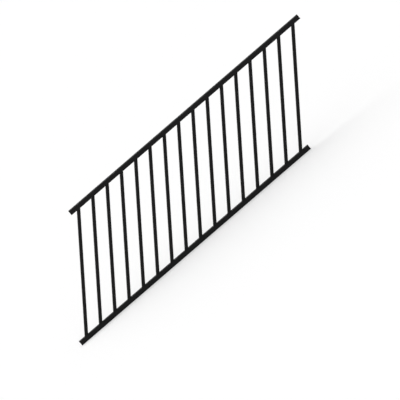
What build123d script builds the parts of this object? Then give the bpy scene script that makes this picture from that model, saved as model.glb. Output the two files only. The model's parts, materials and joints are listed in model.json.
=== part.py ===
from build123d import *
from math import cos, floor, radians, sin, tan
import os

# Aluminium stair railing panel: two raked square-tube rails that hold a row of plumb
# square-tube pickets. Millimetres. +X runs up the stair, +Z is plumb, and the origin is
# the middle of the low end of the bottom rail.

# The panel
RAKE = 36.2               # slope of both rails, degrees
RAIL_LENGTH = 1830.0      # along the slope, over both end plugs
RAIL_SPACING = 822.0      # plumb, between the rails' centre lines
PICKET_PITCH = 114.3      # along the slope

# The picket tube, extruded with a rounded outside and a sharp-cornered bore
PICKET_SIZE = 20.0
PICKET_WALL = 1.5
PICKET_CORNER = 1.0
SLOT_CLEARANCE = 0.3      # on each side of a picket in its slot

# The rail tube, made alike, whose bore takes a picket's foot with a little room each side
RAIL_WALL = 2.0
RAIL_SIDE_ROOM = 2.0
RAIL_CORNER = 1.2

# The plug that closes a rail's end
PLUG_HEAD = 2.5
PLUG_HEAD_EDGE = 0.6
PLUG_STEM = 16.0
PLUG_STEM_WALL = 2.0
PLUG_RIB_PITCH = 5.0      # along the stem, from the head
PLUG_RIB_WIDTH = 1.6
PLUG_RIB_DEPTH = 1.0      # out from the stem
PLUG_RIB_LEAD = 0.6       # chamfer on the side of a rib that goes in first
PLUG_CLEARANCE = 0.2      # around the ribs in the bore
PLUG_TO_PICKET = 3.0      # least room along the slope from a stem to the next picket's foot

# Directions: up the slope, square to the slope in the panel's plane, through the panel, plumb
UP_SLOPE = Vector(cos(radians(RAKE)), 0, sin(radians(RAKE)))
OFF_SLOPE = Vector(-sin(radians(RAKE)), 0, cos(radians(RAKE)))
ACROSS = Vector(0, 1, 0)
PLUMB = Vector(0, 0, 1)

RAIL_BORE = PICKET_SIZE + 2 * RAIL_SIDE_ROOM
RAIL_SIZE = RAIL_BORE + 2 * RAIL_WALL

# A slot is placed by its middle, halfway through the rail's inner wall. Inside the rail the
# plumb picket runs on to the far wall, so its foot stands nearer to the end than its slot.
SLOT_OFFSET = (RAIL_BORE + RAIL_WALL) / 2
FOOT_SHIFT = (SLOT_OFFSET + RAIL_BORE / 2) * tan(radians(RAKE))
FOOT_LENGTH = PICKET_SIZE / cos(radians(RAKE))
LEAST_END_MARGIN = PLUG_HEAD + PLUG_STEM + PLUG_TO_PICKET + FOOT_LENGTH / 2 + FOOT_SHIFT

# A slot is punched square to the wall, so it is long enough for the picket to lean through it
SLOT_WIDTH = PICKET_SIZE + 2 * SLOT_CLEARANCE
SLOT_LENGTH = FOOT_LENGTH + RAIL_WALL * tan(radians(RAKE)) + 2 * SLOT_CLEARANCE

# As many pickets as the rail has room for, evenly about its middle
PICKET_COUNT = floor((RAIL_LENGTH - 2 * LEAST_END_MARGIN) / PICKET_PITCH) + 1
FIRST_SLOT = (RAIL_LENGTH - (PICKET_COUNT - 1) * PICKET_PITCH) / 2

PLUG_RIB_COUNT = floor(PLUG_STEM / PLUG_RIB_PITCH)

# Both rails are slotted alike, so the top one sits back down the slope to keep the pickets plumb
BOTTOM_LOW_END = Vector(0, 0, 0)
TOP_LOW_END = PLUMB * RAIL_SPACING - UP_SLOPE * (2 * SLOT_OFFSET * tan(radians(RAKE)))


def square_to_slope(point, facing):
    return Plane(origin=point, x_dir=ACROSS, z_dir=facing)


def square(size):
    return Rectangle(size, size)


def rounded_square(size, corner):
    return RectangleRounded(size, size, corner)


def tube_section(size, wall, corner):
    return rounded_square(size, corner) - square(size - 2 * wall)


def slot_place(number, low_end, inward):
    return low_end + UP_SLOPE * (FIRST_SLOT + number * PICKET_PITCH) + inward * SLOT_OFFSET


def picket(number):
    # A plumb tube through its slot in each rail. Both ends are mitred to the slope, so that
    # they bear flat on the inside of the rails' far walls.
    section = tube_section(PICKET_SIZE, PICKET_WALL, PICKET_CORNER)
    middle = slot_place(number, BOTTOM_LOW_END, OFF_SLOPE) + PLUMB * RAIL_SPACING / 2
    level = Plane(origin=middle, x_dir=(1, 0, 0), z_dir=PLUMB)
    tube = extrude(level * section, amount=RAIL_SPACING, both=True)
    for low_end, inward in ((BOTTOM_LOW_END, OFF_SLOPE), (TOP_LOW_END, -OFF_SLOPE)):
        seat = Plane(origin=low_end - inward * RAIL_BORE / 2, x_dir=ACROSS, z_dir=inward)
        tube = split(tube, bisect_by=seat, keep=Keep.TOP)
    return tube


def rail(low_end, inward):
    # A tube with a row of slots punched through the wall that faces inward
    section = tube_section(RAIL_SIZE, RAIL_WALL, RAIL_CORNER)
    start = square_to_slope(low_end + UP_SLOPE * PLUG_HEAD, UP_SLOPE)
    tube = extrude(start * section, amount=RAIL_LENGTH - 2 * PLUG_HEAD, dir=UP_SLOPE)
    slots = []
    for number in range(PICKET_COUNT):
        wall = Plane(origin=slot_place(number, low_end, inward), x_dir=ACROSS, z_dir=inward)
        slots.append(extrude(wall * Rectangle(SLOT_WIDTH, SLOT_LENGTH), amount=RAIL_WALL, both=True))
    return tube - slots


def end_plug(end, outward):
    # A head that covers the tube's end and a hollow stem, ringed by ribs, that pushes into its bore
    along = Axis(end, outward)
    seat = square_to_slope(end - outward * PLUG_HEAD, outward)
    head = extrude(seat * rounded_square(RAIL_SIZE, RAIL_CORNER), amount=PLUG_HEAD, dir=outward)
    head = chamfer(head.faces().sort_by(along)[-1].edges(), PLUG_HEAD_EDGE)
    rib_size = RAIL_BORE - 2 * PLUG_CLEARANCE
    stem_size = rib_size - 2 * PLUG_RIB_DEPTH
    stem = extrude(seat * square(stem_size), amount=PLUG_STEM, dir=-outward)
    for number in range(1, PLUG_RIB_COUNT + 1):
        depth = PLUG_HEAD + number * PLUG_RIB_PITCH
        rib_end = square_to_slope(end - outward * depth, outward)
        rib = extrude(rib_end * square(rib_size), amount=PLUG_RIB_WIDTH, dir=outward)
        stem += chamfer(rib.faces().sort_by(along)[0].edges(), PLUG_RIB_LEAD)
    stem -= extrude(seat * square(stem_size - 2 * PLUG_STEM_WALL), amount=PLUG_STEM, dir=-outward)
    return head + stem


def build():
    nodes = {"bottom_rail": rail(BOTTOM_LOW_END, OFF_SLOPE), "top_rail": rail(TOP_LOW_END, -OFF_SLOPE)}
    for number in range(PICKET_COUNT):
        nodes[f"picket_{number + 1:02d}"] = picket(number)
    for name, low_end in (("bottom_rail", BOTTOM_LOW_END), ("top_rail", TOP_LOW_END)):
        nodes[f"{name}_low_plug"] = end_plug(low_end, -UP_SLOPE)
        nodes[f"{name}_high_plug"] = end_plug(low_end + UP_SLOPE * RAIL_LENGTH, UP_SLOPE)
    return nodes


os.makedirs("parts", exist_ok=True)
for node, solid in build().items():
    export_step(solid, f"parts/{node}.step")
print(PICKET_COUNT, "pickets, first slot", round(FIRST_SLOT, 2), "mm from the rail's end")
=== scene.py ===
import json
from math import cos, radians, sin

import bpy
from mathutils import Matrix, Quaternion, Vector


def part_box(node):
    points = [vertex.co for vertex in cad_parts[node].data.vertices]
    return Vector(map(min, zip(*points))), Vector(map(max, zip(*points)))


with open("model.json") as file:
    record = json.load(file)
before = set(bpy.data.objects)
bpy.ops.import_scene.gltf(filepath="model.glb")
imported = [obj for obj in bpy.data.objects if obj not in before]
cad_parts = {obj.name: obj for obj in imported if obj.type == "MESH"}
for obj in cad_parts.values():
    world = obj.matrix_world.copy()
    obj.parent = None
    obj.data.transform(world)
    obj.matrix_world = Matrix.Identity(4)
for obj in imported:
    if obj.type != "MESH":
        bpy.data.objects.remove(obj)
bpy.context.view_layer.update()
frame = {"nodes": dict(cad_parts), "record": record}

# Rails
# Two square aluminium tubes at the stair's slope, each with a row of slots punched through its
# inner wall for the pickets. The whole panel is powder coated black once it is put together.

MM = 0.001
COAT_BLACK = "#121212"
COAT_BLACK_THICK = "#161617"
COAT_DRIFT_MM = 90.0        # how far apart the coat builds up a little thicker and thinner
COAT_PEEL_MM = 3.0          # orange peel, about 1 mm on the real coat, drawn coarser so that it shows
COAT_PEEL_DETAIL = 1.0      # little detail, because the dimples are rounded
COAT_GRIT_MM = 0.8          # fine sand texture, about 0.3 mm on the real coat, also drawn coarser
COAT_PEEL_DEPTH_MM = 0.3    # both depths are a few hundredths on the real coat, drawn deeper to show
COAT_GRIT_DEPTH_MM = 0.2
COAT_ROUGHNESS = (0.66, 0.8)
COAT_SPECULAR = 0.07        # a smooth gloss coat has 0.5

nodes = frame["nodes"]


def linear(hex_colour):
    # An sRGB hex colour as linear red, green and blue, with an alpha of 1
    channels = [int(hex_colour[i:i + 2], 16) / 255 for i in (1, 3, 5)]
    return [c / 12.92 if c <= 0.04045 else ((c + 0.055) / 1.055) ** 2.4 for c in channels] + [1.0]


def add_node(tree, kind, sockets, **settings):
    # A socket takes a plain value or another node's output
    node = tree.nodes.new(kind)
    for name, value in settings.items():
        setattr(node, name, value)
    for name, value in sockets.items():
        if isinstance(value, bpy.types.NodeSocket):
            tree.links.new(value, node.inputs[name])
        else:
            node.inputs[name].default_value = value
    return node


def new_material(name):
    material = bpy.data.materials.new(name)
    material.use_nodes = True
    material.node_tree.nodes.clear()
    return material, material.node_tree


def powder_coat(name):
    # Baked polyester powder: a deep even matt black, with a faint orange peel and grit that break
    # up what little it reflects, and a slow drift in tone where the coat is thicker
    material, tree = new_material(name)
    place = add_node(tree, "ShaderNodeTexCoord", {}).outputs["Object"]
    drift = add_node(tree, "ShaderNodeTexNoise",
                     {"Vector": place, "Scale": 1 / (COAT_DRIFT_MM * MM)}).outputs["Fac"]
    peel = add_node(tree, "ShaderNodeTexNoise",
                    {"Vector": place, "Scale": 1 / (COAT_PEEL_MM * MM),
                     "Detail": COAT_PEEL_DETAIL}).outputs["Fac"]
    grit = add_node(tree, "ShaderNodeTexNoise",
                    {"Vector": place, "Scale": 1 / (COAT_GRIT_MM * MM)}).outputs["Fac"]
    # A Mix node's sockets 6 and 7 are its two colours, and output 2 is the mixed one
    colour = add_node(tree, "ShaderNodeMix",
                      {"Factor": drift, 6: linear(COAT_BLACK), 7: linear(COAT_BLACK_THICK)},
                      data_type="RGBA").outputs[2]
    smooth, rough = COAT_ROUGHNESS
    roughness = add_node(tree, "ShaderNodeMapRange",
                         {"Value": peel, "To Min": smooth, "To Max": rough}).outputs["Result"]
    peel_bump = add_node(tree, "ShaderNodeBump",
                         {"Height": peel, "Distance": COAT_PEEL_DEPTH_MM * MM}).outputs["Normal"]
    grit_bump = add_node(tree, "ShaderNodeBump",
                         {"Height": grit, "Normal": peel_bump,
                          "Distance": COAT_GRIT_DEPTH_MM * MM}).outputs["Normal"]
    surface = add_node(tree, "ShaderNodeBsdfPrincipled",
                       {"Base Color": colour, "Roughness": roughness,
                        "Specular IOR Level": COAT_SPECULAR, "Normal": grit_bump}).outputs["BSDF"]
    add_node(tree, "ShaderNodeOutputMaterial", {"Surface": surface})
    return material


def dress(node_names, material):
    for node_name in node_names:
        slots = nodes[node_name].data.materials
        slots.clear()
        slots.append(material)


coat = powder_coat("black_powder_coat")
dress(["bottom_rail", "top_rail"], coat)

# Pickets
# Square aluminium tubes that stand plumb in the rails' slots, with both ends mitred to the slope.
# They go through the coating line with the rails, so they carry the same coat.

dress(sorted(name for name in nodes if name.startswith("picket_")), coat)

# End plugs
# Push-in plugs that close the rails' ends, injection moulded in black nylon with a matt
# spark-eroded face. They are a shade flatter than the coat beside them.

NYLON_BLACK = "#131313"
NYLON_GRAIN_MM = 0.6        # spark-eroded texture, about 0.2 mm on the real plug, drawn coarser to show
NYLON_GRAIN_DETAIL = 3.0    # more detail, because the pits are of many sizes
NYLON_GRAIN_DEPTH_MM = 0.15
NYLON_ROUGHNESS = (0.75, 0.88)
NYLON_SPECULAR = 0.05


def moulded_nylon(name):
    # Moulded nylon: one black right through, with an even fine grain that leaves it no shine
    material, tree = new_material(name)
    place = add_node(tree, "ShaderNodeTexCoord", {}).outputs["Object"]
    grain = add_node(tree, "ShaderNodeTexNoise",
                     {"Vector": place, "Scale": 1 / (NYLON_GRAIN_MM * MM),
                      "Detail": NYLON_GRAIN_DETAIL}).outputs["Fac"]
    smooth, rough = NYLON_ROUGHNESS
    roughness = add_node(tree, "ShaderNodeMapRange",
                         {"Value": grain, "To Min": smooth, "To Max": rough}).outputs["Result"]
    bump = add_node(tree, "ShaderNodeBump",
                    {"Height": grain, "Distance": NYLON_GRAIN_DEPTH_MM * MM}).outputs["Normal"]
    surface = add_node(tree, "ShaderNodeBsdfPrincipled",
                       {"Base Color": linear(NYLON_BLACK), "Roughness": roughness,
                        "Specular IOR Level": NYLON_SPECULAR, "Normal": bump}).outputs["BSDF"]
    add_node(tree, "ShaderNodeOutputMaterial", {"Surface": surface})
    return material


dress(sorted(name for name in nodes if name.endswith("_plug")), moulded_nylon("black_nylon"))

# Floor
# A plain white sweep that lies along the slope, just under the bottom rail, so that the panel's
# soft shadow runs beside the rail. From below it isn't seen.

FLOOR_WHITE = "#f7f7f7"
FLOOR_GLOW = 0.4            # share of even white in what the camera and mirrors see of it
FLOOR_GAP_MM = 1.0          # between the floor and the rail
FLOOR_SIZE = 24.0           # metres, well past the picture's edges
PLAIN_WHITE = 1.0           # strength at which a glow or a background shows as white

mounts = {mount["name"]: mount for mount in frame["record"]["mounts"]}
up_slope = Vector(mounts["bottom_rail_high_end"]["axis"])
off_slope = Vector((-up_slope.z, 0.0, up_slope.x))
low_end = Vector(mounts["bottom_rail_low_end"]["pos_m"])
high_end = Vector(mounts["bottom_rail_high_end"]["pos_m"])
rail_low, rail_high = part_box("bottom_rail")
rail_size = rail_high.y - rail_low.y
floor_middle = (low_end + high_end) / 2 - off_slope * (rail_size / 2 + FLOOR_GAP_MM * MM)

bpy.ops.object.select_all(action="DESELECT")
bpy.ops.mesh.primitive_plane_add(size=FLOOR_SIZE, location=floor_middle,
                                 rotation=off_slope.to_track_quat("Z", "Y").to_euler())
floor = bpy.context.object
floor.name = "floor"


def seen_share(tree, share=1.0):
    # This share for the rays that the camera sees, straight or by way of gloss or glass, 0 for others
    path = add_node(tree, "ShaderNodeLightPath", {}).outputs
    straight = add_node(tree, "ShaderNodeMath",
                        {0: path["Is Camera Ray"], 1: path["Is Glossy Ray"]}, operation="ADD").outputs[0]
    seen = add_node(tree, "ShaderNodeMath", {0: straight, 1: path["Is Transmission Ray"]},
                    operation="ADD", use_clamp=True).outputs[0]
    return add_node(tree, "ShaderNodeMath", {0: seen, 1: share}, operation="MULTIPLY").outputs[0]


# A Mix Shader's socket 0 is how much of its second shader, socket 2, shows over its first
paper, tree = new_material("white_paper_sweep")
matt = add_node(tree, "ShaderNodeBsdfDiffuse", {"Color": linear(FLOOR_WHITE)}).outputs[0]
glow = add_node(tree, "ShaderNodeEmission", {"Strength": PLAIN_WHITE}).outputs[0]
above = add_node(tree, "ShaderNodeMixShader",
                 {0: seen_share(tree, FLOOR_GLOW), 1: matt, 2: glow}).outputs[0]
clear = add_node(tree, "ShaderNodeBsdfTransparent", {}).outputs[0]
below = add_node(tree, "ShaderNodeNewGeometry", {}).outputs["Backfacing"]
sweep = add_node(tree, "ShaderNodeMixShader", {0: below, 1: above, 2: clear}).outputs[0]
add_node(tree, "ShaderNodeOutputMaterial", {"Surface": sweep})
floor.data.materials.append(paper)

# Light
# A wide soft light from over and behind the panel, a weaker one on to its face that only grazes
# the floor, and so leaves almost no shadow there, and a white room all round.

KEY_STRENGTH = 1.75
KEY_SPREAD = 90.0           # degrees across, which gives the shadow its soft edge
KEY_BEHIND = 36.0           # degrees back from square over the slope
KEY_DOWN = 17.0             # degrees on from there towards the low end
FILL_STRENGTH = 1.2
FILL_SPREAD = 10.0
FILL_ABOVE = 5.0            # degrees up from the floor, so that the floor hides none of it
ROOM_WHITE = "#ffffff"
ROOM_STRENGTH = 0.625

through = Vector((0, 1, 0))  # from the panel's face to its back


def add_sun(name, comes_from, strength, spread):
    data = bpy.data.lights.new(name, "SUN")
    data.energy = strength
    data.angle = radians(spread)
    sun = bpy.data.objects.new(name, data)
    sun.rotation_mode = "QUATERNION"
    sun.rotation_quaternion = (-comes_from).to_track_quat("-Z", "Y")
    bpy.context.scene.collection.objects.link(sun)


key_over = off_slope * cos(radians(KEY_BEHIND)) + through * sin(radians(KEY_BEHIND))
key_from = key_over * cos(radians(KEY_DOWN)) - up_slope * sin(radians(KEY_DOWN))
add_sun("soft_key", key_from, KEY_STRENGTH, KEY_SPREAD)
fill_from = off_slope * sin(radians(FILL_ABOVE)) - through * cos(radians(FILL_ABOVE))
add_sun("front_fill", fill_from, FILL_STRENGTH, FILL_SPREAD)

world = bpy.data.worlds.new("white_room")
bpy.context.scene.world = world
world.use_nodes = True
tree = world.node_tree
tree.nodes.clear()
room = add_node(tree, "ShaderNodeBackground",
                {"Color": linear(ROOM_WHITE), "Strength": ROOM_STRENGTH}).outputs[0]
white = add_node(tree, "ShaderNodeBackground",
                 {"Color": linear(ROOM_WHITE), "Strength": PLAIN_WHITE}).outputs[0]
both = add_node(tree, "ShaderNodeMixShader", {0: seen_share(tree), 1: room, 2: white}).outputs[0]
add_node(tree, "ShaderNodeOutputWorld", {"Surface": both})

# Camera
# A parallel view from a little above the panel's middle and slightly to its low side, rolled so
# that the plumb pickets lean a touch to the left.

AZIMUTH = -9.0              # degrees round from square on to the face, towards the low end
ELEVATION = 12.06           # degrees up from level
ROLL = -3.576               # degrees
IMAGE_PIXELS = 400
PIXEL_MM = 6.0651           # what one pixel of the image spans
PANEL_LEFT_PIXELS = 10.45   # how far the panel's middle lies left of the image's middle
PANEL_ABOVE_PIXELS = 20.17  # and how far above it
CAMERA_DISTANCE = 6.0       # metres, clear of the panel, and of no effect on a parallel view

ends = [Vector(mount["pos_m"]) for mount in mounts.values()]
panel_middle = sum(ends, Vector()) / len(ends)
turn, tilt = radians(AZIMUTH), radians(ELEVATION)
back = Vector((sin(turn) * cos(tilt), -cos(turn) * cos(tilt), sin(tilt)))
facing = (-back).to_track_quat("-Z", "Y") @ Quaternion((0, 0, 1), radians(ROLL))
right = facing @ Vector((1, 0, 0))
up = facing @ Vector((0, 1, 0))
pixel = PIXEL_MM * MM

camera_data = bpy.data.cameras.new("camera")
camera_data.type = "ORTHO"
camera_data.ortho_scale = IMAGE_PIXELS * pixel
camera = bpy.data.objects.new("camera", camera_data)
camera.rotation_mode = "QUATERNION"
camera.rotation_quaternion = facing
camera.location = (panel_middle + back * CAMERA_DISTANCE
                   + right * PANEL_LEFT_PIXELS * pixel - up * PANEL_ABOVE_PIXELS * pixel)
bpy.context.scene.collection.objects.link(camera)
bpy.context.scene.camera = camera

bpy.context.scene.view_settings.view_transform = "Standard"
